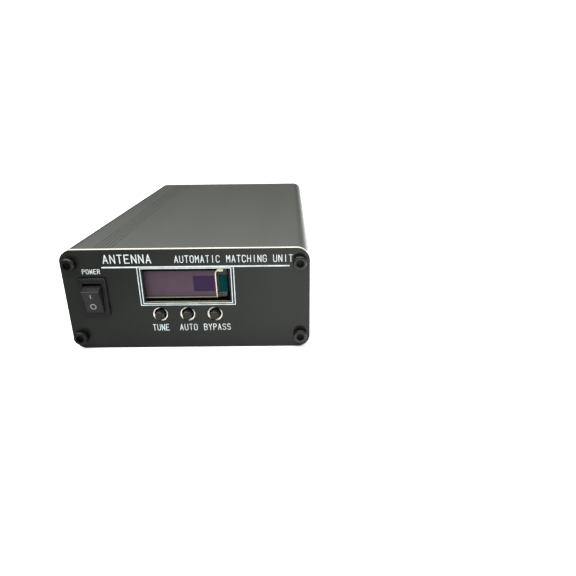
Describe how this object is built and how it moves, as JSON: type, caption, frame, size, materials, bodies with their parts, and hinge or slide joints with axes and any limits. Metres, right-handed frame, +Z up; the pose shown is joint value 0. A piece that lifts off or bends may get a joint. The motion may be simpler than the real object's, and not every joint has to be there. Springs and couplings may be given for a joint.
{
  "type": "antenna tuner",
  "caption": "Flat aluminium-cased antenna tuner with a rocker power switch, a display window, push buttons and rear coaxial sockets.",
  "frame": {"origin": "middle of the case's underside, on the surface it stands on", "axes": "+Z up, front panel faces -Y, coaxial sockets face +Y, +X to the right seen from the front"},
  "size_m": [0.097, 0.1782, 0.042],
  "materials": {
    "anodised_shell": "satin black anodised, fine bead-blasted",
    "anodised_panel": "matte black anodised with bare milled edges",
    "black_steel": "black oxide",
    "zinc_steel": "bright zinc",
    "switch_plastic": "fine moulded",
    "rocker_plastic": "fine moulded",
    "stem_plastic": "satin moulded",
    "base_plastic": "moulded",
    "spring_steel": "bright",
    "contact_brass": "plain",
    "tinned_copper": "tinned",
    "nickel_shell": "bright nickel plate",
    "white_insulator": "smooth",
    "display_glass": "smooth dark",
    "display_board": "solder mask",
    "flex_film": "dark teal film",
    "board_green": "solder mask",
    "relay_case": "moulded",
    "iron_powder": "painted powder core",
    "ferrite": "plain ferrite",
    "enamelled_copper": "enamelled",
    "capacitor_coat": "dipped",
    "chip_epoxy": "moulded epoxy",
    "can_sleeve": "shrink sleeve",
    "ground_insulator": "moulded",
    "wire_red": "insulated",
    "wire_black": "insulated"
  },
  "bodies": {
    "case": {"air_coils": "enamelled_copper", "antenna_socket_contact": "contact_brass", "antenna_socket_flange": "nickel_shell", "antenna_socket_insulator": "white_insulator", "antenna_socket_shell": "nickel_shell", "board_link_header": "base_plastic", "bridge_cores": "ferrite", "bridge_through_wires": "tinned_copper", "bridge_windings": "enamelled_copper", "button_switch_bases": "base_plastic", "button_switch_covers": "zinc_steel", "button_switch_domes": "spring_steel", "button_switch_legs": "tinned_copper", "capacitor_relays": "relay_case", "changeover_relay": "relay_case", "controller_chip": "chip_epoxy", "controller_socket": "base_plastic", "dc_jack_body": "base_plastic", "dc_jack_nut": "zinc_steel", "dc_jack_pin": "contact_brass", "dc_jack_sleeve_contact": "spring_steel", "display_board": "display_board", "display_flex": "flex_film", "display_glass": "display_glass", "display_header": "base_plastic", "front_board": "board_green", "front_panel": "anodised_panel", "front_panel_screws": "black_steel", "ground_socket_body": "ground_insulator", "ground_socket_contact": "contact_brass", "ground_socket_nut": "zinc_steel", "inductor_relays": "relay_case", "lower_shell": "anodised_shell", "main_board": "board_green", "rear_panel": "anodised_panel", "rear_panel_screws": "black_steel", "return_wires": "wire_black", "rf_wires": "tinned_copper", "smoothing_capacitors": "can_sleeve", "socket_flange_nuts": "zinc_steel", "socket_flange_screws": "zinc_steel", "supply_wires": "wire_red", "switch_housing": "switch_plastic", "switch_terminals": "contact_brass", "toroid_cores": "iron_powder", "toroid_windings": "enamelled_copper", "transmitter_socket_contact": "contact_brass", "transmitter_socket_flange": "nickel_shell", "transmitter_socket_insulator": "white_insulator", "transmitter_socket_shell": "nickel_shell", "tuning_capacitors": "capacitor_coat", "upper_shell": "anodised_shell", "voltage_regulator": "chip_epoxy"},
    "rocker": {"power_rocker": "rocker_plastic", "switch_plunger": "base_plastic", "switch_plunger_spring": "spring_steel"},
    "contact_lever": {"switch_contact_lever": "contact_brass"},
    "tune_stem": {"tune_button": "stem_plastic"},
    "auto_stem": {"auto_button": "stem_plastic"},
    "bypass_stem": {"bypass_button": "stem_plastic"}
  },
  "joints": [
    {"name": "power_rocker_hinge", "type": "hinge", "parent": "case", "child": "rocker", "pos_m": [-0.03675, -0.0779, 0.0229], "axis": [-1, 0, 0], "range_deg": [0, 26]},
    {"name": "contact_lever_hinge", "type": "hinge", "parent": "case", "child": "contact_lever", "pos_m": [-0.03675, -0.07095, 0.0229], "axis": [1, 0, 0], "range_deg": [0, 16]},
    {"name": "tune_press", "type": "slide", "parent": "case", "child": "tune_stem", "axis": [0, 1, 0], "range_m": [0, 0.00025], "stiffness_N_per_m": 4000},
    {"name": "auto_press", "type": "slide", "parent": "case", "child": "auto_stem", "axis": [0, 1, 0], "range_m": [0, 0.00025], "stiffness_N_per_m": 4000},
    {"name": "bypass_press", "type": "slide", "parent": "case", "child": "bypass_stem", "axis": [0, 1, 0], "range_m": [0, 0.00025], "stiffness_N_per_m": 4000}
  ],
  "couplings": [
    {"joint": "contact_lever_hinge", "follows": "power_rocker_hinge", "ratio": 0.615}
  ]
}
